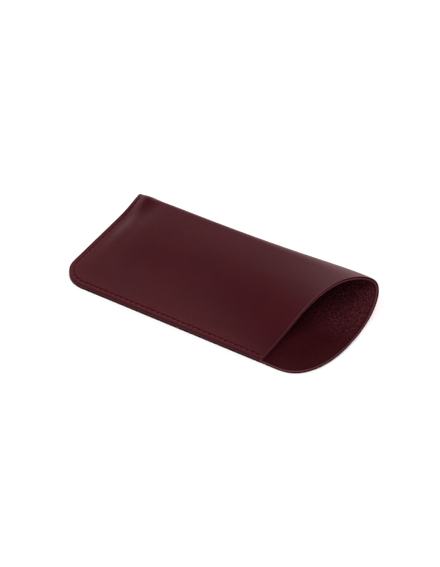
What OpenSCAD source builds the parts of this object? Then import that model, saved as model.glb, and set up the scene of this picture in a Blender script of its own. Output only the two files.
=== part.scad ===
// Slip-in eyeglasses sleeve, lying on its back panel.
// One leather panel and its lining are folded once along the far long side and sewn with a lockstitch
// along the closed end and the near long side. The back panel runs on past the front one as a tongue.
// The sheets are bent, never stretched: every cross-section keeps the same developed length.

/* [Outline] */
// Width of the sleeve pressed flat, from the stitched edge to the fold
flat_w = 88; // [80:1:95]
// Overall length, from the closed end to the tip of the tongue
overall_l = 171.5; // [165:0.5:180]
// Length of the front panel along its stitched edge
stitched_l = 137.5; // [130:0.5:142]
// Radius of the sewn corner
corner_r = 15.6; // [10:0.2:22]
// Radius of the front panel's corner where its stitched edge meets the mouth
front_corner_r = 2.5; // [1.5:0.1:4]
// Where the tongue's rounded corner leaves the stitched edge
tongue_start = 146; // [142:1:150]
// How far the tongue's rounded corner reaches across the back panel
tongue_reach = 42; // [34:1:50]

/* [Sheets] */
// Thickness of the outer leather
leather_t = 0.95; // [0.8:0.05:1.1]
// Thickness of the bonded interlining
interlining_t = 0.25; // [0.2:0.05:0.4]
// Thickness of the lining
lining_t = 0.5; // [0.4:0.05:0.6]
// How far the interlining's edge stays back from the closed end and from the mouth
interlining_setback = 0.3; // [0.2:0.1:0.6]

/* [Opening] */
// How far the section at the tongue's tip stands open
mouth_lift = 32; // [24:1:34]
// How late the sleeve opens: the power that its height grows with towards the mouth
mouth_growth = 3.4; // [2.8:0.1:4]
// How far the front panel swells just inside the closed end
pillow_lift = 2.3; // [1.5:0.1:3]
// How far the fold springs open along its whole length
fold_lift = 1.8; // [1.4:0.1:2.2]
// How far the fold bulges beyond that, just inside the closed end, where the seam lets it go
flare_lift = 2.9; // [0:0.1:4]

/* [Seam] */
// Distance from the cut edge to the stitch line
stitch_inset = 2.7; // [2.4:0.1:3]
// Length of one stitch, hole to hole
stitch_pitch = 3.5; // [3:0.25:5]
// Distance from the last stitch hole to the fold
end_gap = 5; // [4:0.5:9]
// Diameter of the sewing thread
thread_d = 0.6; // [0.5:0.05:0.6]

/* [Hidden] */

// Seam stack: two panels face to face with a film of glue between them
glue_t = 0.1;
panel_t = leather_t + interlining_t + lining_t;
seam_t = 2 * panel_t + glue_t;
z_back = panel_t / 2;
z_front = seam_t - panel_t / 2;

// Outline of the mouth: exponents of the tongue's corner and of the front edge's S-curve
tongue_n = 2.1;
tongue_m = 2.6;
front_p = 3.1;
front_q = 6.4;

// Opening: how quickly the swelling and the bulge come and go along the sleeve, and the bulge's crest
pillow_len = 11.7;
flare_at = 7.5;
flare_len = 5.5;
shut_len = 9;

// Cross-section: how far the flat seam reaches in, and how the front panel climbs to the fold where the
// closed end is sewn shut: over what distance, with what power it starts, and how it eases at the crest
clamp_w = stitch_inset + 0.8;
climb_len = 22;
climb_power = 2;
climb_ease = 1.3;

// Cross-section at the mouth: height of the fold's outermost point as a share of the whole, reach of the
// loop under and over as a share of its half height, and the handle lengths of its curves
fold_rise = 0.48;
under_k = 1.65;
over_k = 2.13;
round_k = 0.51;
crest_k = 0.48;
foot_k = 0.54;

// Mesh of a sheet: rows along the sleeve, columns across each panel
rows = 22;
half_cols = 26;
curve_steps = 16;
front_steps = 96;
end_crowd = 1.5;
side_crowd = 0.86;

// Sections worked out along the sleeve: closer together near the closed end
near_l = 30;
near_rows = 20;
far_rows = 26;

/* Outline of the developed panel. s runs across it, from the back panel's stitched edge at 0,
   over the fold at flat_w, to the front panel's stitched edge at 2 * flat_w. */
function closed_end(s) =
    let (d = min(s, 2 * flat_w - s), e = corner_r - d)
    d < corner_r ? corner_r - sqrt(corner_r * corner_r - e * e) : 0;

function tongue_edge(s) =
    let (t = 1 - s / tongue_reach)
    tongue_start + (overall_l - tongue_start) * pow(1 - pow(t, tongue_n), 1 / tongue_m);

function front_edge(s) =
    let (d = 2 * flat_w - s,
         t = d / (2 * flat_w - tongue_reach),
         e = max(0, front_corner_r - d))
    stitched_l + (overall_l - stitched_l) * (1 - pow(1 - pow(t, front_p), front_q))
        - front_corner_r + sqrt(front_corner_r * front_corner_r - e * e);

function mouth_end(s) = s < tongue_reach ? tongue_edge(s) : front_edge(s);

/* Cross-section at a distance x from the closed end, through the middle of the panel's thickness. */
function bell(x, len) = exp(-pow(x / len, 2));

function fade(x, len) = bell(max(x, 0), len);

function lift(x) =
    fold_lift + flare_lift * bell(x - flare_at, flare_len)
        + pillow_lift * (1 - fade(x - clamp_w, pillow_len))
        + (mouth_lift - fold_lift - pillow_lift) * pow(max(x, 0) / overall_l, mouth_growth);

function openness(x) = min(1, lift(x) / mouth_lift);

// Half the height of the fold's loop, and how far back the front panel's crest lies from the fold
function loop_r(x) = (z_front + lift(x) - z_back) / 2;

function crest_back(x) = loop_r(x) * (1 + (over_k - 1) * openness(x));

// Climb to the crest as a share of its height, where the front panel is held flat up to near the fold
function climb(y, crest) =
    let (t = min(1, max(0, 1 - (crest - y) / climb_len)))
    1 - pow(1 - pow(t, climb_power), climb_ease);

function bend(a, b, c, d, steps = curve_steps) = [for (i = [1 : steps])
    let (q = i / steps, p = 1 - q)
    p * p * p * a + 3 * p * p * q * b + 3 * p * q * q * c + q * q * q * d];

function section(x, w) =
    let (h = lift(x),
         top = z_front + h,
         under = loop_r(x) * (1 + (under_k - 1) * openness(x)),
         over = crest_back(x),
         side = z_back + fold_rise * (top - z_back),
         shut = fade(x - clamp_w, shut_len),
         a = [w - under, z_back],
         b = [w, side],
         c = [w - over, top],
         d = [clamp_w, z_front],
         run = c[0] - d[0])
    concat([[0, z_back], a],
           bend(a, a + [round_k * under, 0], b - [0, round_k * (side - z_back)], b),
           bend(b, b + [0, round_k * (top - side)], c + [round_k * over, 0], c),
           [for (p = bend(c, c - [crest_k * run, 0], d + [foot_k * run, 0], d, front_steps))
               [p[0], p[1] + shut * (z_front + h * climb(p[0], c[0]) - p[1])]],
           [[0, z_front]]);

function arc_lengths(pts) = [for (i = 0, s = 0; i < len(pts);
    s = s + (i + 1 < len(pts) ? norm(pts[i + 1] - pts[i]) : 0), i = i + 1) s];

function slack(x, w) = let (l = arc_lengths(section(x, w))) l[len(l) - 1] - 2 * flat_w;

// Width at which the section's developed length is right, by the secant rule
function width_at(x, w0 = 0.9 * flat_w, w1 = flat_w, n = 7) =
    let (f0 = slack(x, w0), f1 = slack(x, w1))
    n == 0 || abs(f1 - f0) < 1e-7 ? w1 : width_at(x, w1, w1 - f1 * (w1 - w0) / (f1 - f0), n - 1);

/* Grid of points on the middle surface, and the surface's outward normals there. */
function crowd(q) = q - side_crowd * sin(360 * q) / (2 * PI);

cols = [for (j = [0 : 2 * half_cols])
    flat_w * (j <= half_cols ? crowd(j / half_cols) : 1 + crowd(j / half_cols - 1))];
last_col = len(cols) - 1;

stations = concat([for (i = [0 : near_rows - 1]) near_l * i / near_rows],
                  [for (i = [0 : far_rows]) near_l + (overall_l - near_l) * i / far_rows]);
sections = [for (x = stations)
    let (pts = section(x, width_at(x)), l = arc_lengths(pts), n = len(pts) - 1)
    [[for (i = [0 : n]) [l[i], pts[i][0]]], [for (i = [0 : n]) [l[i], pts[i][1]]]]];
y_of = [for (s = cols) [for (i = [0 : len(stations) - 1]) [stations[i], lookup(s, sections[i][0])]]];
z_of = [for (s = cols) [for (i = [0 : len(stations) - 1]) [stations[i], lookup(s, sections[i][1])]]];

function grid(back_off = 0) = [for (i = [0 : rows]) [for (j = [0 : last_col])
    let (x0 = closed_end(cols[j]) + back_off,
         x1 = mouth_end(cols[j]) - back_off,
         x = x0 + pow(i / rows, end_crowd) * (x1 - x0))
    [x, lookup(x, y_of[j]), lookup(x, z_of[j])]]];

function unit(v) = v / norm(v);

function normals(g) = [for (i = [0 : rows]) [for (j = [0 : last_col])
    let (along = g[min(i + 1, rows)][j] - g[max(i - 1, 0)][j],
         across = g[i][min(j + 1, last_col)] - g[i][max(j - 1, 0)])
    unit(cross(across, along))]];

// A sheet between two heights above the panel's middle surface; the outer face is the upper one
module sheet(low, high, setback = 0) {
    g = grid(setback);
    n = normals(g);
    wide = last_col + 1;
    tall = rows + 1;
    outer = [for (i = [0 : rows], j = [0 : last_col]) g[i][j] + high * n[i][j]];
    inner = [for (i = [0 : rows], j = [0 : last_col]) g[i][j] + low * n[i][j]];
    half = tall * wide;
    rim = concat([for (j = [0 : last_col]) j],
                 [for (i = [1 : rows]) i * wide + last_col],
                 [for (j = [last_col - 1 : -1 : 0]) rows * wide + j],
                 [for (i = [rows - 1 : -1 : 1]) i * wide]);
    m = len(rim);
    cells = [for (i = [0 : rows - 1], j = [0 : last_col - 1]) i * wide + j];
    polyhedron(points = concat(outer, inner), faces = concat(
        [for (a = cells) [a, a + wide + 1, a + 1]],
        [for (a = cells) [a, a + wide, a + wide + 1]],
        [for (a = cells) [a + half, a + half + 1, a + half + wide + 1]],
        [for (a = cells) [a + half, a + half + wide + 1, a + half + wide]],
        [for (k = [0 : m - 1]) let (a = rim[k], b = rim[(k + 1) % m]) [a, b, b + half]],
        [for (k = [0 : m - 1]) let (a = rim[k], b = rim[(k + 1) % m]) [a, b + half, a + half]]));
}

// The sleeve is modelled from the stitched corner; its box is then centred over the origin
hull_grid = grid();
hull_normals = normals(hull_grid);
hull_points = [for (i = [0 : rows], j = [0 : last_col])
    hull_grid[i][j] + panel_t / 2 * hull_normals[i][j]];
hull_x = [for (p = hull_points) p[0]];
hull_y = [for (p = hull_points) p[1]];

module centred() {
    translate([-(min(hull_x) + max(hull_x)) / 2, -(min(hull_y) + max(hull_y)) / 2, 0]) children();
}

/* Seam route: down the closed end, round the corner and along the stitched side, at the inset. */
route_r = corner_r - stitch_inset;
route_top = flat_w - end_gap - corner_r;
route_bend = route_r * PI / 2;
route_side = stitched_l - stitch_inset - corner_r;
route_l = route_top + route_bend + route_side;
stitches = round(route_l / stitch_pitch);
step = route_l / stitches;

function route(d) =
    let (b = d - route_top, turn = 180 + 90 * b / route_bend)
    b < 0 ? [stitch_inset, corner_r - b]
    : b < route_bend ? [corner_r + route_r * cos(turn), corner_r + route_r * sin(turn)]
    : [corner_r + b - route_bend, stitch_inset];

function hole_at(i) = route(i * step);

// How far the front panel has climbed above the flat seam at a stitch hole, and how many stitches climb
seam_lift = lift(stitch_inset);
seam_crest = width_at(stitch_inset) - crest_back(stitch_inset);
climbing = ceil((climb_len + crest_back(stitch_inset)) / step);

function climb_at(i) = seam_lift * climb(hole_at(i)[1], seam_crest);

// Stitch holes go through the whole seam; each thread lies in a pressed channel on its own face
hole_r = 0.5;
hole_l = seam_t + seam_lift;
leg_r = 0.18;
leg_gap = 0.26;
round_sides = 8;
leg_sides = 6;
past = 1;
channel_w = thread_d + 0.3;
needle_depth = 0.4;
bobbin_depth = thread_d + 0.05;
arc_steps = 12;
needle_z = seam_t - needle_depth + thread_d / 2;
bobbin_z = bobbin_depth - thread_d / 2;

module holes() {
    translate([0, 0, -past])
        linear_extrude(hole_l + 2 * past)
            for (i = [0 : stitches]) translate(hole_at(i)) circle(hole_r, $fn = round_sides);
}

// Plan of the channel: the route widened to both sides, from a place on the closed end past its last hole
module channel(start_y) {
    half = channel_w / 2;
    bend_at = [for (k = [0 : arc_steps]) 180 + 90 * k / arc_steps];
    outer = concat([[stitch_inset - half, start_y]],
                   [for (t = bend_at) [corner_r, corner_r] + (route_r + half) * [cos(t), sin(t)]],
                   [[stitched_l - stitch_inset + half, stitch_inset - half]]);
    inner = concat([[stitched_l - stitch_inset + half, stitch_inset + half]],
                   [for (k = [arc_steps : -1 : 0])
                       [corner_r, corner_r] + (route_r - half) * [cos(bend_at[k]), sin(bend_at[k])]],
                   [[stitch_inset + half, start_y]]);
    polygon(concat(outer, inner));
}

// Places its children at a stitch's first hole, with +X towards its second hole
module along_stitch(i, z_from, z_to) {
    from = hole_at(i);
    way = hole_at(i + 1) - from;
    translate([from[0], from[1], z_from])
        rotate([0, -atan2(z_to - z_from, norm(way)), atan2(way[1], way[0])])
            children();
}

module needle_channel() {
    translate([0, 0, seam_t - needle_depth]) linear_extrude(past) channel(hole_at(climbing)[1]);
    for (i = [0 : climbing - 1])
        along_stitch(i, needle_z + climb_at(i), needle_z + climb_at(i + 1))
            translate([0, -channel_w / 2, -thread_d / 2]) cube([step, channel_w, past]);
}

module bobbin_channel() {
    translate([0, 0, bobbin_depth - past])
        linear_extrude(past) channel(flat_w - end_gap + channel_w / 2);
}

// One stitch: a bar along the face, and a leg into each of its two holes
module stitch(i, z_from, z_to) {
    from = hole_at(i);
    way = hole_at(i + 1) - from;
    bar_l = norm([way[0], way[1], z_to - z_from]);
    side_gap = leg_gap - leg_r;
    leg_share = leg_gap / norm(way);
    along_stitch(i, z_from, z_to)
        translate([side_gap, 0, 0])
            rotate([0, 90, 0]) cylinder(bar_l - 2 * side_gap, d = thread_d, $fn = round_sides);
    for (share = [leg_share, 1 - leg_share]) {
        foot = from + share * way;
        z = z_from + share * (z_to - z_from);
        translate([foot[0], foot[1], min(z, seam_t / 2)])
            cylinder(abs(z - seam_t / 2), r = leg_r, $fn = leg_sides);
    }
}

module outer_leather() {
    color("#4a2329")
        centred() difference() {
            sheet(panel_t / 2 - leather_t, panel_t / 2);
            holes();
            needle_channel();
            bobbin_channel();
        }
}

module interlining() {
    color("#2a1418")
        centred() difference() {
            sheet(lining_t - panel_t / 2, panel_t / 2 - leather_t, interlining_setback);
            holes();
        }
}

module lining() {
    color("#5a2a34")
        centred() difference() {
            sheet(-panel_t / 2, lining_t - panel_t / 2);
            holes();
        }
}

module needle_thread() {
    color("#40181d")
        centred() for (i = [0 : stitches - 1])
            stitch(i, needle_z + climb_at(i), needle_z + climb_at(i + 1));
}

module bobbin_thread() {
    color("#40181d")
        centred() for (i = [0 : stitches - 1])
            stitch(i, bobbin_z, bobbin_z);
}

outer_leather();
interlining();
lining();
needle_thread();
bobbin_thread();
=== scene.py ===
import math

import bpy
import numpy as np
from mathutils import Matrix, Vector
from mathutils.geometry import delaunay_2d_cdt
from mathutils.kdtree import KDTree


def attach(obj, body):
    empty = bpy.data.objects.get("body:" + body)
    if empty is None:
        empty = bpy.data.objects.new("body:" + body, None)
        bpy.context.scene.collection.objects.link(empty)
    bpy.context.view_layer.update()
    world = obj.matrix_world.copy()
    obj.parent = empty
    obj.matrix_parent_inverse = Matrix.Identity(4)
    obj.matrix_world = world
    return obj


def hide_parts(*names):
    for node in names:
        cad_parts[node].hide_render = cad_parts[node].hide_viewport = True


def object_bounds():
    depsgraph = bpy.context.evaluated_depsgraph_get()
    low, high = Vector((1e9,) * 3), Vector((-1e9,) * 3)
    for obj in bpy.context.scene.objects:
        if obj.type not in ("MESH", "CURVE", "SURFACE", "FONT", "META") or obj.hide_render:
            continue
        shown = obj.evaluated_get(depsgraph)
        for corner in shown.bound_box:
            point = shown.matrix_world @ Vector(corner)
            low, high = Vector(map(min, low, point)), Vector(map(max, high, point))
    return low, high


# Looks of a slip-in eyeglasses sleeve. Its sheets and its two threads are built again here from the
# formulas of the CAD source, with rounded cut edges, a pressed seam and twisted stitches.
# Lengths in the formulas are millimetres; a mesh is brought to metres and to the CAD frame as it is
# made. x runs along the sleeve from the closed end. s runs across the panel laid flat, from the back's
# stitched edge over the fold to the front's stitched edge.
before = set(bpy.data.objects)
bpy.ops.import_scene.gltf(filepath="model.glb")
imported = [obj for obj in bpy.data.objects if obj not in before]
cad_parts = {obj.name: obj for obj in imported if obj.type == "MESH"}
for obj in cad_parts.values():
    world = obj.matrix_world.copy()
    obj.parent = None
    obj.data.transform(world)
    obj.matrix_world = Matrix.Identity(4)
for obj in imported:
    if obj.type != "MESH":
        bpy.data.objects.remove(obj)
cad_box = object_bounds()

MM = 0.001
RNG = np.random.default_rng(7)

# Outline of the developed panel
FLAT_W = 88.0
OVERALL_L = 171.5
STITCHED_L = 137.5
CORNER_R = 15.6
FRONT_CORNER_R = 2.5
TONGUE_START = 146.0
TONGUE_REACH = 42.0
TONGUE_N, TONGUE_M = 2.1, 2.6
FRONT_P, FRONT_Q = 3.1, 6.4

# Sheets
LEATHER_T = 0.95
INTERLINING_T = 0.25
LINING_T = 0.5
SETBACK = 0.3
PANEL_T = LEATHER_T + INTERLINING_T + LINING_T
GLUE_T = 0.1
SEAM_T = 2 * PANEL_T + GLUE_T
Z_BACK = PANEL_T / 2
Z_FRONT = SEAM_T - PANEL_T / 2

# Opening
MOUTH_LIFT, MOUTH_GROWTH = 32.0, 3.4
PILLOW_LIFT, PILLOW_LEN = 2.3, 11.7
FOLD_LIFT, FLARE_LIFT, FLARE_AT, FLARE_LEN = 1.8, 2.9, 7.5, 5.5
SHUT_LEN, CLIMB_LEN, CLIMB_POWER, CLIMB_EASE = 9.0, 22.0, 2.0, 1.3
FOLD_RISE, UNDER_K, OVER_K = 0.48, 1.65, 2.13
ROUND_K, CREST_K, FOOT_K = 0.51, 0.48, 0.54

# Seam
INSET = 2.7
PITCH = 3.5
END_GAP = 5.0
THREAD_D = 0.6
CLAMP_W = INSET + 0.8
BAND_DEPTH, BAND_W = 0.10, 0.9
FRONT_GROOVE, BACK_GROOVE, GROOVE_W = 0.16, 0.52, 0.36
HOLE_DEPTH, HOLE_W = 0.12, 0.32
PUCKER_HEIGHT, PUCKER_AT, PUCKER_W = 0.04, 0.85, 0.4
FAR_FROM_SEAM = 99.0
ROUTE_R = CORNER_R - INSET
ROUTE_TOP = FLAT_W - END_GAP - CORNER_R
ROUTE_BEND = ROUTE_R * math.pi / 2
ROUTE_L = ROUTE_TOP + ROUTE_BEND + STITCHED_L - INSET - CORNER_R
STITCHES = round(ROUTE_L / PITCH)
STEP = ROUTE_L / STITCHES

# Stitches
STITCH_GAP, STITCH_DIVE, STITCH_BOW = 0.25, 0.95, 0.05
FRONT_SINK, BACK_SINK = 0.12, 0.32
SLANT, SLANT_SPREAD, RISE_SPREAD = 0.2, 0.03, 0.02
PLY_PITCH, PLY_DEPTH = 2.2, 0.16

# Unevenness of the front panel
WAVE_HEIGHT, WAVE_COUNT = 0.014, 7

# Camera, in degrees, metres and millimetres of lens
CAMERA_AZIMUTH, CAMERA_ELEVATION, CAMERA_DISTANCE = 31.915, 40.365, 1.539
CAMERA_LENS = 170.8
AIM_OFF_X, AIM_OFF_Y, AIM_Z = 0.0016, -0.0075, 0.010


# --- The middle surface of the panel -------------------------------------------------------------

def smooth(x, low, high):
    """0 up to low, 1 from high on, and a smooth step between."""
    t = np.clip((x - low) / (high - low), 0, 1)
    return t * t * (3 - 2 * t)


def bell(x, width):
    return np.exp(-(x / width) ** 2)


def fade(x, length):
    return np.exp(-(np.maximum(x, 0) / length) ** 2)


def closed_end(s):
    """x of the closed end's cut edge, which is straight between its two rounded corners."""
    e = np.clip(CORNER_R - np.minimum(s, 2 * FLAT_W - s), 0, CORNER_R)
    return CORNER_R - np.sqrt(CORNER_R ** 2 - e ** 2)


def mouth_end(s):
    """x of the mouth's cut edge: the back panel's tongue, then the front panel's S."""
    t = np.clip(1 - s / TONGUE_REACH, 0, 1)
    tongue = TONGUE_START + (OVERALL_L - TONGUE_START) * (1 - t ** TONGUE_N) ** (1 / TONGUE_M)
    d = np.clip(2 * FLAT_W - s, 0, 2 * FLAT_W - TONGUE_REACH)
    e = np.clip(FRONT_CORNER_R - d, 0, FRONT_CORNER_R)
    rise = 1 - (1 - (d / (2 * FLAT_W - TONGUE_REACH)) ** FRONT_P) ** FRONT_Q
    front = STITCHED_L + (OVERALL_L - STITCHED_L) * rise
    front = front - FRONT_CORNER_R + np.sqrt(FRONT_CORNER_R ** 2 - e ** 2)
    return np.where(s < TONGUE_REACH, tongue, front)


def lift(x):
    """Height that the fold adds to the seam's own at x."""
    pillow = PILLOW_LIFT * (1 - fade(x - CLAMP_W, PILLOW_LEN))
    rise = pillow + FLARE_LIFT * bell(x - FLARE_AT, FLARE_LEN)
    growth = (MOUTH_LIFT - FOLD_LIFT - PILLOW_LIFT) * (max(x, 0) / OVERALL_L) ** MOUTH_GROWTH
    return FOLD_LIFT + rise + growth


def bend(a, b, c, d, steps=64):
    """Points of a cubic Bezier curve, without its first."""
    q = np.linspace(1 / steps, 1, steps)[:, None]
    p = 1 - q
    return p ** 3 * a + 3 * p * p * q * b + 3 * p * q * q * c + q ** 3 * d


def section(x, w):
    """Cross-section at x: flat back, fold loop, front panel and the flat flange, as (y, z) points."""
    h = lift(x)
    spread = min(1, h / MOUTH_LIFT)
    top = Z_FRONT + h
    r = (top - Z_BACK) / 2
    under, over = r * (1 + (UNDER_K - 1) * spread), r * (1 + (OVER_K - 1) * spread)
    side = Z_BACK + FOLD_RISE * (top - Z_BACK)
    a, b = np.array([w - under, Z_BACK]), np.array([w, side])
    c, d = np.array([w - over, top]), np.array([CLAMP_W, Z_FRONT])
    right, up = np.array([1.0, 0.0]), np.array([0.0, 1.0])
    run = c[0] - d[0]
    front = bend(c, c - CREST_K * run * right, d + FOOT_K * run * right, d, 256)
    shut = fade(x - CLAMP_W, SHUT_LEN)
    near = np.clip(1 - (c[0] - front[:, 0]) / CLIMB_LEN, 0, 1)
    climb = h * (1 - (1 - near ** CLIMB_POWER) ** CLIMB_EASE)
    front[:, 1] += shut * (Z_FRONT + climb - front[:, 1])
    return np.vstack([
        [0, Z_BACK], a,
        bend(a, a + ROUND_K * under * right, b - ROUND_K * (side - Z_BACK) * up, b),
        bend(b, b + ROUND_K * (top - side) * up, c + ROUND_K * over * right, c),
        front,
        [0, Z_FRONT],
    ])


def along_lengths(points):
    return np.concatenate([[0], np.cumsum(np.linalg.norm(np.diff(points, axis=0), axis=1))])


def width_at(x):
    """Width at which the section's developed length is that of the flat panel, by the secant rule."""
    def slack(w):
        return along_lengths(section(x, w))[-1] - 2 * FLAT_W
    w0, w1 = 0.9 * FLAT_W, FLAT_W
    f0, f1 = slack(w0), slack(w1)
    for _ in range(8):
        if abs(f1 - f0) < 1e-9:
            break
        w0, w1 = w1, w1 - f1 * (w1 - w0) / (f1 - f0)
        f0, f1 = f1, slack(w1)
    return w1


ROW_STEP, COL_STEP = 0.5, 0.25
ROW_AT = np.arange(0, OVERALL_L + 2 * ROW_STEP, ROW_STEP)
COL_AT = np.arange(0, 2 * FLAT_W + COL_STEP / 2, COL_STEP)


def surface_tables():
    """Points of the middle surface on a fine grid over (x, s), and its outward normals."""
    points = np.zeros((len(ROW_AT), len(COL_AT), 3))
    for row, x in zip(points, ROW_AT):
        line = section(x, width_at(x))
        at = along_lengths(line)
        row[:, 0] = x
        row[:, 1] = np.interp(COL_AT, at, line[:, 0])
        row[:, 2] = np.interp(COL_AT, at, line[:, 1])
    along = np.gradient(points, axis=0)
    across = np.gradient(points, axis=1)
    normals = np.cross(across, along)
    return points, normals / np.linalg.norm(normals, axis=2, keepdims=True)


POINTS, NORMALS = surface_tables()


def cubic_weights(f):
    return (
        (-f + 2 * f ** 2 - f ** 3) / 2,
        (2 - 5 * f ** 2 + 3 * f ** 3) / 2,
        (f + 4 * f ** 2 - 3 * f ** 3) / 2,
        (-f ** 2 + f ** 3) / 2,
    )


def sample(table, x, s):
    """The table's value at (x, s), by cubic interpolation both ways."""
    u = np.clip(x / ROW_STEP, 0, len(ROW_AT) - 1.001)
    v = np.clip(s / COL_STEP, 0, len(COL_AT) - 1.001)
    i, j = u.astype(int), v.astype(int)
    total = 0
    for a, wa in enumerate(cubic_weights(u - i)):
        row = np.clip(i + a - 1, 0, len(ROW_AT) - 1)
        for b, wb in enumerate(cubic_weights(v - j)):
            col = np.clip(j + b - 1, 0, len(COL_AT) - 1)
            total = total + (wa * wb)[:, None] * table[row, col]
    return total


CENTRE = (POINTS[:, :, :2] + PANEL_T / 2 * NORMALS[:, :, :2]).reshape(-1, 2)
MIDDLE = np.array([OVERALL_L / 2, (CENTRE[:, 1].min() + CENTRE[:, 1].max()) / 2, 0])


def place(x, s, height):
    """Points of the CAD frame, in metres, at a height above the panel's middle surface."""
    normal = sample(NORMALS, x, s)
    normal /= np.linalg.norm(normal, axis=1, keepdims=True)
    return (sample(POINTS, x, s) + height[:, None] * normal - MIDDLE) * MM


# --- The seam ------------------------------------------------------------------------------------

def route(at):
    """(x, distance from the stitched edge) of points at distances along the stitch line."""
    turn = (at - ROUTE_TOP) / ROUTE_R
    x = np.where(turn < 0, INSET, CORNER_R - ROUTE_R * np.cos(np.clip(turn, 0, math.pi / 2)))
    d = np.where(turn < 0, CORNER_R + ROUTE_TOP - at,
                 CORNER_R - ROUTE_R * np.sin(np.clip(turn, 0, math.pi / 2)))
    return x + np.maximum(at - ROUTE_TOP - ROUTE_BEND, 0), d


def seam_place(x, s):
    """Distance along the stitch line, and distance inwards from it, of points of the panel."""
    d = np.minimum(s, 2 * FLAT_W - s)
    corner = (x < CORNER_R) & (d < CORNER_R)
    angle = np.arctan2(CORNER_R - d, CORNER_R - x)
    by_end = (d >= CORNER_R) & ((x < CORNER_R) | (x < d))
    at = np.where(corner, ROUTE_TOP + ROUTE_R * angle,
                  np.where(by_end, CORNER_R + ROUTE_TOP - d, ROUTE_TOP + ROUTE_BEND + x - CORNER_R))
    off = np.where(corner, ROUTE_R - np.hypot(CORNER_R - x, CORNER_R - d),
                   np.where(by_end, x - INSET, d - INSET))
    return at, off


def on_seam(at):
    """1 along the stitched length of the stitch line, and 0 beyond its ends."""
    near, far = 0.2, 1.4
    return smooth(at, -far, -near) * (1 - smooth(at, ROUTE_L + near, ROUTE_L + far))


def seam_press(x, s, groove):
    """How deep the outer face is pressed in by the seam: a shallow band, a groove and the holes."""
    at, off = seam_place(x, s)
    to_hole = at - STEP * np.round(at / STEP)
    between = 0.5 - 0.5 * np.cos(2 * math.pi * at / STEP)
    band = BAND_DEPTH * bell(off, BAND_W)
    hole = HOLE_DEPTH * bell(np.hypot(to_hole, off), HOLE_W)
    pucker = PUCKER_HEIGHT * bell(np.abs(off) - PUCKER_AT, PUCKER_W) * between
    return on_seam(at) * (band + groove * bell(off, GROOVE_W) + hole - pucker)


# --- Meshes over the developed panel -------------------------------------------------------------

EDGE_STEP = 0.45
LOOP_W = 17.0
SEAM_CLEAR, EDGE_CLEAR = 0.45, 0.35


def cut_edge():
    """Evenly spaced points round the panel's cut edge, and the directions into the panel."""
    turn = np.linspace(0, math.pi / 2, 200)
    corner = CORNER_R * (1 - np.cos(turn))
    near = np.column_stack([CORNER_R * (1 - np.sin(turn)), corner])
    far = np.column_stack([near[::-1, 0], 2 * FLAT_W - near[::-1, 1]])
    front_turn = np.linspace(0, math.pi / 2, 120)
    s_corner = 2 * FLAT_W - FRONT_CORNER_R * (1 - np.cos(front_turn))
    s_front = np.linspace(2 * FLAT_W - FRONT_CORNER_R, TONGUE_REACH, 1500)[1:]
    s_tongue = TONGUE_REACH * np.linspace(1, 0, 1200)[1:] ** 3
    s_mouth = np.concatenate([s_corner, s_front, s_tongue])
    mouth = np.column_stack([mouth_end(s_mouth), s_mouth])
    loop = np.vstack([near, far, mouth, near[:1]])
    at = along_lengths(loop)
    even = np.linspace(0, at[-1], round(at[-1] / EDGE_STEP) + 1)[:-1]
    loop = np.column_stack([np.interp(even, at, loop[:, k]) for k in (0, 1)])
    way = np.roll(loop, -1, axis=0) - np.roll(loop, 1, axis=0)
    way /= np.linalg.norm(way, axis=1, keepdims=True)
    return loop, np.column_stack([way[:, 1], -way[:, 0]])


EDGE, INWARDS = cut_edge()
EDGE_TREE = KDTree(len(EDGE))
for index, (edge_x, edge_s) in enumerate(EDGE):
    EDGE_TREE.insert((edge_x, edge_s, 0), index)
EDGE_TREE.balance()


def edge_distance(points):
    """Distance of each (x, s) point from the cut edge."""
    return np.array([EDGE_TREE.find((x, s, 0))[2] for x, s in points])


def seam_points(reach, rows, per_stitch):
    """Points along both rows of stitches, closer together than the panel's other points."""
    at = np.arange(-0.5 * per_stitch, (STITCHES + 0.5) * per_stitch) * STEP / per_stitch
    here = np.column_stack(route(at))
    ahead = np.column_stack(route(at + 0.01))
    way = (ahead - here) / np.linalg.norm(ahead - here, axis=1, keepdims=True)
    inwards = np.column_stack([-way[:, 1], way[:, 0]])
    found = []
    for off in np.linspace(-reach, reach, rows):
        line = here + off * inwards
        found.append(line)
        found.append(np.column_stack([line[:, 0], 2 * FLAT_W - line[:, 1]]))
    return np.vstack(found)


def inner_points(margin, coarse, fine, seam=None):
    """Points inside the panel, closer together over the fold, and closest along the seam."""
    flat = np.arange(0, FLAT_W - LOOP_W, coarse)
    fold = np.arange(FLAT_W - LOOP_W, FLAT_W + LOOP_W, fine)
    lines = np.concatenate([flat, fold, 2 * FLAT_W - flat[::-1]])
    found = []
    for k, s in enumerate(lines):
        x = np.arange(0, OVERALL_L, coarse) + (k % 2) * coarse / 2
        found.append(np.column_stack([x, np.full(len(x), s)]))
    found = np.vstack(found)
    x, s = found.T
    keep = (x > closed_end(s)) & (x < mouth_end(s))
    found = found[keep]
    if seam is not None:
        reach, rows, per_stitch = seam
        at, off = seam_place(*found.T)
        near = (np.abs(off) < reach + SEAM_CLEAR) & (at > -3) & (at < ROUTE_L + 3)
        found = np.vstack([found[~near], seam_points(reach, rows, per_stitch)])
    return found[edge_distance(found) > margin]


def fill(loop, inner):
    """Triangles over the loop and the points inside it, and all their points, the loop's first."""
    n = len(loop)
    flat = [Vector(p) for p in np.vstack([loop, inner])]
    edges = [(k, (k + 1) % n) for k in range(n)]
    points, _, faces, source, _, _ = delaunay_2d_cdt(flat, edges, [], 1, 1e-6)
    if len(points) != len(flat):
        raise ValueError("two points of the panel fell together")
    back = np.array([ids[0] for ids in source])
    tri = back[np.array([f for f in faces])]
    return np.vstack([loop, inner]), tri


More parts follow.
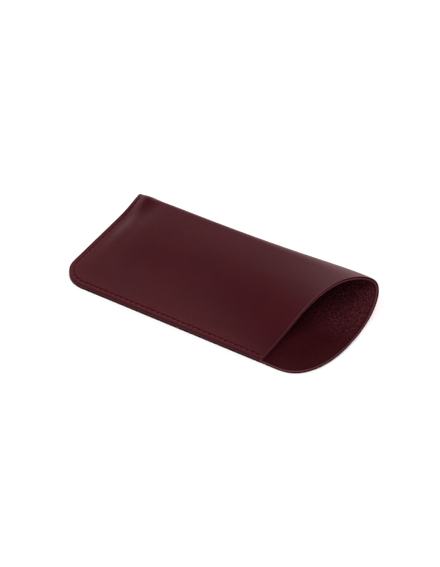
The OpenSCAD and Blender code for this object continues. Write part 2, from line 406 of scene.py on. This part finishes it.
def face_of_sheet(rings, setback, inner):
    """One face of a sheet: rings of quads round the cut edge, then triangles over the middle.
    Returns (x, s) points, distance from the cut edge of each, quads and triangles."""
    n = len(EDGE)
    loops = [EDGE + (setback + depth) * INWARDS for depth in rings]
    points, tri = fill(loops[-1], inner)
    start = n * (len(rings) - 1)
    flat = np.vstack(loops[:-1] + [points])
    k = np.arange(n)
    ahead = (k + 1) % n
    quads = [np.column_stack([r * n + k, r * n + ahead, (r + 1) * n + ahead, (r + 1) * n + k])
             for r in range(len(rings) - 1)]
    depth = np.concatenate([np.repeat(rings[:-1], n), np.full(n, rings[-1]),
                            edge_distance(inner) - setback])
    tri = tri + start
    a, b, c = flat[tri[:, 0]], flat[tri[:, 1]], flat[tri[:, 2]]
    turned = np.cross(b - a, c - a) > 0
    tri[turned] = tri[turned][:, ::-1]
    return flat, depth, np.vstack(quads), tri


def arris(depth, radius):
    """How far a rounded arris falls below its face at a distance from the cut edge."""
    e = np.clip(radius - depth, 0, radius)
    return radius - np.sqrt(radius ** 2 - e ** 2)


def add_mesh(name, points, faces, uv=None, values=None):
    """A smooth-shaded object, with a place on the panel and named values at its points."""
    mesh = bpy.data.meshes.new(name)
    mesh.from_pydata(points.tolist(), [], faces)
    if uv is not None:
        layer = mesh.uv_layers.new(name="panel")
        loops = np.zeros(len(mesh.loops), np.int32)
        mesh.loops.foreach_get("vertex_index", loops)
        layer.data.foreach_set("uv", uv[loops].astype(np.float32).ravel())
    for key, value in (values or {}).items():
        attribute = mesh.attributes.new(key, "FLOAT", "POINT")
        attribute.data.foreach_set("value", value.astype(np.float32))
    mesh.shade_smooth()
    mesh.validate()
    obj = bpy.data.objects.new(name, mesh)
    bpy.context.scene.collection.objects.link(obj)
    return obj


def ring_depths(radius, further):
    """Distances from the cut edge of a face's rings: over its arris, then further in."""
    turn = np.linspace(0, math.pi / 2, 5)
    return np.concatenate([radius * (1 - np.cos(turn)), further])


def sheet(name, high, low, radii, dense, setback=0.0, press=None, wave=None):
    """A sheet of the panel as a closed mesh. radii are its arrises' at the high and the low face,
    dense says for each face how its points are spaced, and press is the depth of the groove on the
    front and on the back."""
    sides = []
    for radius, (further, spacing) in zip(radii, dense):
        rings = ring_depths(radius, further)
        inner = inner_points(setback + rings[-1] + EDGE_CLEAR, *spacing)
        sides.append(face_of_sheet(rings, setback, inner))
    (flat_a, depth_a, quads_a, tri_a), (flat_b, depth_b, quads_b, tri_b) = sides
    height_a = high - arris(depth_a, radii[0])
    height_b = low + arris(depth_b, radii[1])
    if press is not None:
        groove = np.where(flat_a[:, 1] > FLAT_W, press[0], press[1])
        height_a = height_a - seam_press(*flat_a.T, groove)
    if wave is not None:
        height_a = height_a + wave(*flat_a.T)
        height_b = height_b + wave(*flat_b.T)
    start = len(flat_a)
    n = len(EDGE)
    k = np.arange(n)
    ahead = (k + 1) % n
    rim = np.column_stack([start + k, start + ahead, ahead, k])
    flat = np.vstack([flat_a, flat_b])
    height = np.concatenate([height_a, height_b])
    faces = (quads_a.tolist() + tri_a.tolist() + (quads_b[:, ::-1] + start).tolist()
             + (tri_b[:, ::-1] + start).tolist() + rim.tolist())
    values = {"edge": np.concatenate([depth_a, depth_b])}
    at, off = seam_place(*flat.T)
    values["seam"] = np.where(on_seam(at) > 0, np.abs(off), FAR_FROM_SEAM)
    obj = add_mesh(name, place(*flat.T, height), faces, flat / (2 * FLAT_W), values)
    obj["rim_from"] = len(faces) - n
    obj["back_from"] = len(quads_a) + len(tri_a)
    return obj


# --- Stitches ------------------------------------------------------------------------------------

def thread(name, side, height):
    """One row of stitches: twisted three-ply thread that dives into a hole at each end."""
    lengths, turns = 25, 12
    t = np.linspace(-1, 1, lengths)
    radius = THREAD_D / 2 - 0.03
    first = np.arange(STITCHES) * STEP
    slant = RNG.normal(SLANT, SLANT_SPREAD, STITCHES)
    rise = RNG.normal(0, RISE_SPREAD, STITCHES)
    at = first[:, None] + STEP / 2 + t * (STEP / 2 - STITCH_GAP)
    x, d = route(at.ravel())
    ends = np.clip((np.abs(t) - 0.5) / 0.5, 0, 1) ** 2
    h = height + rise[:, None] - STITCH_DIVE * ends - STITCH_BOW * t ** 2
    x2, d2 = route(at.ravel() + 0.01)
    way = np.column_stack([x2 - x, d2 - d])
    way /= np.linalg.norm(way, axis=1, keepdims=True)
    off = (slant[:, None] * t).ravel()
    x, d = x - way[:, 1] * off, d + way[:, 0] * off
    s = 2 * FLAT_W - d if side == "front" else d
    line = place(x, s, h.ravel()).reshape(STITCHES, lengths, 3)
    normal = sample(NORMALS, x, s).reshape(STITCHES, lengths, 3)
    ahead = np.gradient(line, axis=1)
    ahead /= np.linalg.norm(ahead, axis=2, keepdims=True)
    beside = np.cross(normal, ahead)
    beside /= np.linalg.norm(beside, axis=2, keepdims=True)
    above = np.cross(ahead, beside)
    angle = np.linspace(0, 2 * math.pi, turns, endpoint=False)
    run = (t * STEP / 2)[:, None]
    twist = 2 * math.pi / PLY_PITCH
    lobes = np.abs(np.cos(1.5 * (angle[None, :] - twist * run)))
    r = radius * (1 - PLY_DEPTH + PLY_DEPTH * lobes) * MM
    sideways = np.cos(angle)[:, None] * beside[:, :, None, :]
    upwards = np.sin(angle)[:, None] * above[:, :, None, :]
    ring = sideways + upwards
    points = line[:, :, None, :] + r[None, :, :, None] * ring
    faces = []
    for i in range(STITCHES):
        base = i * lengths * turns
        for k in range(lengths - 1):
            for j in range(turns):
                a = base + k * turns + j
                b = base + k * turns + (j + 1) % turns
                faces.append((a, b, b + turns, a + turns))
        faces.append(tuple(base + j for j in range(turns))[::-1])
        faces.append(tuple(base + (lengths - 1) * turns + j for j in range(turns)))
    uv = np.zeros((STITCHES, lengths, turns, 2))
    uv[..., 0] = (first[:, None, None] + STEP / 2 + run) / ROUTE_L
    uv[..., 1] = angle / (2 * math.pi) * (THREAD_D * math.pi) / ROUTE_L
    return add_mesh(name, points.reshape(-1, 3), faces, uv.reshape(-1, 2))


# --- Materials -----------------------------------------------------------------------------------

def srgb(red, green, blue):
    """A linear colour from the usual 0 to 255 numbers."""
    c = np.array([red, green, blue]) / 255
    return (*np.where(c <= 0.04045, c / 12.92, ((c + 0.055) / 1.055) ** 2.4), 1.0)


SEWN_MARGIN = (4.0, 8.0)
MATT_GLOSS = 0.03


class Paint:
    """A material's node tree, with short calls for the nodes that it needs."""

    def __init__(self, name):
        self.material = bpy.data.materials.new(name)
        self.material.use_nodes = True
        self.tree = self.material.node_tree
        self.shader = self.tree.nodes["Principled BSDF"]

    def node(self, kind, inputs=None, **settings):
        made = self.tree.nodes.new(kind)
        for key, value in settings.items():
            setattr(made, key, value)
        for key, value in (inputs or {}).items():
            self.put(made.inputs[key], value)
        return made

    def put(self, socket, value):
        if isinstance(value, bpy.types.NodeSocket):
            self.tree.links.new(value, socket)
        else:
            socket.default_value = value

    def set(self, **inputs):
        for key, value in inputs.items():
            self.put(self.shader.inputs[key.replace("_", " ")], value)

    def gloss(self, level):
        self.shader.inputs["Specular IOR Level"].default_value = level

    def object_place(self):
        return self.node("ShaderNodeTexCoord").outputs["Object"]

    def sewn(self):
        """1 on the panel's sewn margin and 0 away from it."""
        return self.ramp(self.value("seam"), *SEWN_MARGIN, 1.0, 0.0)

    def panel_mm(self):
        """Place on the developed panel, in millimetres."""
        uv = self.node("ShaderNodeUVMap", uv_map="panel")
        grown = self.node("ShaderNodeVectorMath", {0: uv.outputs["UV"]}, operation="SCALE")
        grown.inputs["Scale"].default_value = 2 * FLAT_W
        return grown.outputs["Vector"]

    def noise(self, at, size, detail=2.0, rough=0.5, distortion=0.0):
        made = self.node("ShaderNodeTexNoise", {
            "Vector": at, "Scale": 1 / size, "Detail": detail, "Roughness": rough,
            "Distortion": distortion})
        return made.outputs["Fac"]

    def cells(self, at, size, feature="F1", randomness=1.0, smoothness=None):
        inputs = {"Vector": at, "Scale": 1 / size, "Randomness": randomness}
        if smoothness is not None:
            inputs["Smoothness"] = smoothness
        return self.node("ShaderNodeTexVoronoi", inputs, feature=feature).outputs["Distance"]

    def math(self, operation, *values, clamp=False):
        made = self.node("ShaderNodeMath", operation=operation, use_clamp=clamp)
        for socket, value in zip(made.inputs, values):
            self.put(socket, value)
        return made.outputs[0]

    def ramp(self, value, low, high, to_low=0.0, to_high=1.0):
        made = self.node("ShaderNodeMapRange", {
            "Value": value, "From Min": low, "From Max": high, "To Min": to_low, "To Max": to_high},
            interpolation_type="SMOOTHSTEP")
        return made.outputs["Result"]

    def mix(self, share, a, b):
        made = self.node("ShaderNodeMix", data_type="RGBA")
        for key, value in ((0, share), (6, a), (7, b)):
            self.put(made.inputs[key], value)
        return made.outputs[2]

    def value(self, name):
        return self.node("ShaderNodeAttribute", attribute_name=name).outputs["Fac"]

    def bump(self, height, distance, strength=1.0, under=None):
        inputs = {"Height": height, "Distance": distance, "Strength": strength}
        made = self.node("ShaderNodeBump", inputs)
        if under is not None:
            self.put(made.inputs["Normal"], under)
        return made.outputs["Normal"]


def leather_face():
    """Smooth full-grain leather: fine pebbles between shallow creases, a soft sheen, and painted
    highlights that make it lighter along the unsewn cut edge and along the seam."""
    p = Paint("leather_face")
    at = p.panel_mm()
    cloud = p.noise(at, 22.0, 3.0)
    fine = p.noise(at, 0.55, 4.0, 0.6)
    pebble = p.cells(at, 0.95, "SMOOTH_F1", 1.0, 0.35)
    crease = p.cells(at, 1.35, "DISTANCE_TO_EDGE")
    deep, pale = srgb(54, 13, 19), srgb(57, 14, 20)
    colour = p.mix(p.ramp(cloud, 0.35, 0.65), deep, pale)
    colour = p.mix(p.ramp(fine, 0.3, 0.75, 0.0, 0.35), colour, srgb(44, 9, 14))
    sewn = p.sewn()
    # Painted highlight: lighter along the unsewn cut edge, where the rounded arris catches the light.
    leather_arris_highlight = p.math("SUBTRACT", p.ramp(p.value("edge"), 0.12, 0.45, 0.6, 0.0), sewn, clamp=True)
    # Painted highlight: the sewn margin is made lighter, most next to the stitch line, for the light on
    # the pressed band and in the gaps between the stitches.
    seam_highlight = p.ramp(p.value("seam"), 0.8, 2.7, 0.25, 0.08)
    colour = p.mix(p.math("MULTIPLY", seam_highlight, sewn), colour, srgb(84, 27, 34))
    colour = p.mix(leather_arris_highlight, colour, srgb(100, 58, 60))
    rough = p.math("ADD", p.ramp(cloud, 0.3, 0.7, 0.46, 0.50), p.math("MULTIPLY", fine, 0.06))
    p.set(Base_Color=colour, Roughness=rough)
    p.gloss(0.045)
    p.shader.inputs["Specular Tint"].default_value = (1.0, 0.78, 0.8, 1.0)
    soft = p.bump(p.ramp(crease, 0.0, 0.12), 0.00003, 0.6)
    soft = p.bump(pebble, 0.00008, 0.6, soft)
    p.set(Normal=p.bump(fine, 0.00006, 0.6, soft))
    return p.material


def cut_leather():
    """The cut edge of the leather: matt, a little fibrous and painted dark as shade, lighter on the
    front panel's seam.
    """
    p = Paint("cut_leather")
    across = p.node("ShaderNodeSeparateXYZ", {"Vector": p.panel_mm()}).outputs["Y"]
    front = p.math("MULTIPLY", p.ramp(across, FLAT_W, 1.2 * FLAT_W), p.sewn())
    at = p.object_place()
    fibre = p.noise(at, 0.00022, 5.0, 0.65, 1.2)
    # Painted shade: the cut edge is coloured dark because it lies in shade; the front panel's lit sewn
    # edge keeps a colour near the leather's.
    colour = p.mix(p.ramp(fibre, 0.3, 0.7), srgb(22, 7, 9), srgb(32, 11, 13))
    colour = p.mix(front, colour, srgb(64, 20, 26))
    p.set(Base_Color=colour, Roughness=p.ramp(fibre, 0.3, 0.7, 0.75, 0.9))
    p.gloss(MATT_GLOSS)
    p.set(Normal=p.bump(fibre, 0.00008, 0.7))
    return p.material


def lining_face():
    """Thin lining with a woven, pebbled emboss, which is smooth in a narrow band along its cut edge
    and sharper at the fold near the mouth, where painted light and painted highlights make it lighter."""
    p = Paint("lining_face")
    at = p.panel_mm()
    worm = p.noise(at, 1.0, 1.5, 0.5, 0.6)
    fine = p.noise(at, 0.4, 3.0)
    cloud = p.noise(at, 18.0, 2.0)
    inside = p.ramp(p.value("edge"), 1.4, 2.2)
    apart = p.node("ShaderNodeSeparateXYZ", {"Vector": at}).outputs
    along, across = apart["X"], apart["Y"]
    # Painted light: the zone at the fold near the mouth, where light falls in, is made lighter and its
    # pebbles stronger.
    lit_fold_zone = p.math("MULTIPLY", p.ramp(along, 0.72 * OVERALL_L, 0.9 * OVERALL_L),
                     p.ramp(across, 0.35 * FLAT_W, 0.7 * FLAT_W))
    inside = p.math("MULTIPLY", inside, p.ramp(lit_fold_zone, 0.0, 1.0, 0.12, 1.0))
    raised = p.math("MULTIPLY", p.ramp(worm, 0.42, 0.6), inside)
    colour = p.mix(p.ramp(cloud, 0.35, 0.65), srgb(40, 7, 11), srgb(44, 8, 12))
    colour = p.mix(p.math("MULTIPLY", lit_fold_zone, 0.3), colour, srgb(62, 20, 26))
    # Painted highlight on the raised pebbles, strongest in the lit zone at the fold.
    colour = p.mix(p.math("MULTIPLY", raised, 0.6), colour, srgb(98, 46, 55))
    # Painted highlight: lighter along the cut edge, where the rounded arris catches the light.
    lining_arris_highlight = p.ramp(p.value("edge"), 0.15, 0.7, 0.6, 0.0)
    colour = p.mix(lining_arris_highlight, colour, srgb(108, 62, 67))
    p.set(Base_Color=colour, Roughness=p.ramp(raised, 0.0, 1.0, 0.65, 0.5))
    p.gloss(MATT_GLOSS)
    soft = p.bump(raised, 0.00045, 1.0)
    p.set(Normal=p.bump(fine, 0.00003, 0.5, soft))
    return p.material


def cut_lining():
    """The cut edge of the lining: pale and fibrous, but painted dark along the seam, where it lies in
    shade.
    """
    p = Paint("cut_lining")
    at = p.object_place()
    fibre = p.noise(at, 0.00018, 5.0, 0.65, 1.0)
    colour = p.mix(p.ramp(fibre, 0.3, 0.7), srgb(80, 34, 40), srgb(110, 58, 64))
    # Painted shade: the lining's cut is made dark along the sewn edge.
    colour = p.mix(p.sewn(), colour, srgb(26, 8, 11))
    p.set(Base_Color=colour, Roughness=0.85)
    p.gloss(MATT_GLOSS)
    p.set(Normal=p.bump(fibre, 0.00006, 0.7))
    return p.material


def board():
    """Bonded leather board, seen only as a dark line in the cut edge."""
    p = Paint("board")
    at = p.object_place()
    fibre = p.noise(at, 0.0003, 4.0)
    colour = p.mix(p.ramp(fibre, 0.3, 0.7), srgb(28, 12, 14), srgb(42, 18, 21))
    p.set(Base_Color=colour, Roughness=0.9, Normal=p.bump(fibre, 0.00005, 0.6))
    p.gloss(MATT_GLOSS)
    return p.material


def sewing_thread():
    """Waxed three-ply thread, with fine fibres running round with the twist."""
    p = Paint("sewing_thread")
    uv = p.node("ShaderNodeUVMap", uv_map="panel").outputs["UV"]
    grown = p.node("ShaderNodeMapping", {"Vector": uv, "Scale": (ROUTE_L * 3, ROUTE_L * 18, 1.0)})
    grown.inputs["Rotation"].default_value = (0, 0, 0.6)
    fibre = p.noise(grown.outputs["Vector"], 1.0, 3.0)
    # The thread's own dark red, made darker still as painted shade of the stitch holes and the groove.
    colour = p.mix(p.ramp(fibre, 0.3, 0.7), srgb(34, 2, 8), srgb(46, 5, 13))
    p.set(Base_Color=colour, Roughness=0.7, Normal=p.bump(fibre, 0.00003, 0.6))
    p.gloss(0.02)
    return p.material


def floor_paint():
    """A pale, matt, almost even floor."""
    p = Paint("floor")
    at = p.object_place()
    haze = p.noise(at, 0.4, 2.0)
    p.set(Base_Color=p.mix(haze, (0.96, 0.96, 0.96, 1), (0.97, 0.97, 0.97, 1)), Roughness=0.7)
    p.gloss(0.1)
    return p.material


# --- Pieces --------------------------------------------------------------------------------------

def wave(x, s):
    """Slight unevenness of the front panel, which lies on nothing. It dies out towards the seam."""
    free = smooth(s, FLAT_W + 4, FLAT_W + 24) * smooth(seam_place(x, s)[1], 1.5, 14)
    total = 0
    for length, turn, start in WAVES:
        along = x * math.cos(turn) + s * math.sin(turn)
        total = total + np.sin(along * 2 * math.pi / length + start)
    return WAVE_HEIGHT * free * total


WAVES = np.column_stack([
    RNG.uniform(22, 60, WAVE_COUNT),
    RNG.uniform(0, math.pi, WAVE_COUNT),
    RNG.uniform(0, 6.28, WAVE_COUNT),
])
# Of a face: how far in its further rings are, and how its inner points are spaced
SEAM_DENSE = (1.15, 11, 12)
FINE = ([0.55, 0.85, 1.15], (1.3, 0.55, SEAM_DENSE))
PLAIN = ([0.6, 1.2, 2.0], (1.4, 0.6))
HIDDEN = ([1.0], (4.0, 1.2))


def finish_sheet(obj, node, face, rim, back_rim=True):
    """Materials and body of one sheet, and its CAD part hidden."""
    obj.data.materials.append(face)
    obj.data.materials.append(rim)
    index = np.zeros(len(obj.data.polygons), np.int32)
    index[obj["rim_from"]:] = 1
    if back_rim:
        index[obj["back_from"]:] = 1
    else:
        index[:obj["back_from"]] = 1
    obj.data.polygons.foreach_set("material_index", index)
    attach(obj, "root")
    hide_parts(node)


def build_sleeve():
    """The three sheets, outermost first, and the two threads."""
    half = PANEL_T / 2
    bonded = half - LEATHER_T
    glued = LINING_T - half
    leather = sheet("leather_panel", half, bonded, (0.30, 0.06), (FINE, HIDDEN),
                    press=(FRONT_GROOVE, BACK_GROOVE), wave=wave)
    finish_sheet(leather, "outer_leather", leather_face(), cut_leather())
    middle = sheet("interlining_panel", bonded, glued, (0.04, 0.04), (HIDDEN, HIDDEN),
                   setback=SETBACK, wave=wave)
    finish_sheet(middle, "interlining", board(), board())
    inner = sheet("lining_panel", glued, -half, (0.05, 0.2), (HIDDEN, PLAIN), wave=wave)
    finish_sheet(inner, "lining", lining_face(), cut_lining(), back_rim=False)
    top = thread("needle_stitches", "front", PANEL_T / 2 - FRONT_SINK)
    bottom = thread("bobbin_stitches", "back", PANEL_T / 2 - BACK_SINK)
    paint = sewing_thread()
    for obj, node in ((top, "needle_thread"), (bottom, "bobbin_thread")):
        obj.data.materials.append(paint)
        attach(obj, "root")
        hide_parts(node)


# --- Stage ---------------------------------------------------------------------------------------

LAMP_DISTANCE = 1.5
WORLD_STRENGTH = 0.27
FLOOR_SIZE, FLOOR_CELLS, FLOOR_GAP = 6.0, 24, 0.00005

low, high = cad_box
AIM = Vector(((low.x + high.x) / 2 + AIM_OFF_X, (low.y + high.y) / 2 + AIM_OFF_Y, AIM_Z))


def direction(azimuth, elevation):
    """Unit vector towards a place seen at an azimuth, from the stitched side round to the mouth."""
    a, e = math.radians(azimuth), math.radians(elevation)
    return Vector((math.sin(a) * math.cos(e), -math.cos(a) * math.cos(e), math.sin(e)))


def add_camera():
    data = bpy.data.cameras.new("camera")
    data.sensor_width = 36.0
    data.lens = CAMERA_LENS
    cam = bpy.data.objects.new("camera", data)
    back = direction(CAMERA_AZIMUTH, CAMERA_ELEVATION)
    cam.location = AIM + back * CAMERA_DISTANCE
    cam.rotation_mode = "QUATERNION"
    cam.rotation_quaternion = (-back).to_track_quat("-Z", "Y")
    data.clip_start, data.clip_end = 0.05, 20
    bpy.context.scene.collection.objects.link(cam)
    bpy.context.scene.camera = cam


def softbox(name, azimuth, elevation, size, power, colour=(1, 1, 1)):
    """A rectangular area light that faces the sleeve."""
    data = bpy.data.lights.new(name, "AREA")
    data.shape = "RECTANGLE"
    data.size, data.size_y = size
    data.energy = power
    data.color = colour
    lamp = bpy.data.objects.new(name, data)
    way = direction(azimuth, elevation)
    lamp.location = AIM + way * LAMP_DISTANCE
    lamp.rotation_mode = "QUATERNION"
    lamp.rotation_quaternion = way.to_track_quat("Z", "Y")
    bpy.context.scene.collection.objects.link(lamp)


def add_floor():
    wide = FLOOR_CELLS + 1
    line = np.linspace(-FLOOR_SIZE / 2, FLOOR_SIZE / 2, wide)
    x, y = np.meshgrid(line, line)
    points = np.column_stack([x.ravel(), y.ravel(), np.full(x.size, -FLOOR_GAP)])
    faces = [(j * wide + i, j * wide + i + 1, (j + 1) * wide + i + 1, (j + 1) * wide + i)
             for j in range(FLOOR_CELLS) for i in range(FLOOR_CELLS)]
    floor = add_mesh("floor", points, faces)
    floor.data.materials.append(floor_paint())


def add_world():
    world = bpy.data.worlds.new("studio")
    bpy.context.scene.world = world
    world.use_nodes = True
    shade = world.node_tree.nodes["Background"]
    shade.inputs["Color"].default_value = (1, 1, 1, 1)
    shade.inputs["Strength"].default_value = WORLD_STRENGTH
    bpy.context.scene.view_settings.view_transform = "Standard"


def add_lamps():
    strip, box, square = (0.9, 0.35), (0.8, 0.6), (0.8, 0.8)
    softbox("back_strip", 178, 12, strip, 44, (1, 0.84, 0.86))
    softbox("fold_strip", 210, 12, strip, 2.2)
    softbox("closed_end_strip", 240, 12, strip, 9, (1, 0.8, 0.82))
    softbox("left_box", 330, 30, box, 16.5)
    softbox("front_box", 30, 30, box, 4)
    softbox("front_high_box", 0, 55, square, 4.2)
    softbox("right_high_box", 60, 55, square, 6.5)


add_floor()
build_sleeve()
add_camera()
add_world()
add_lamps()
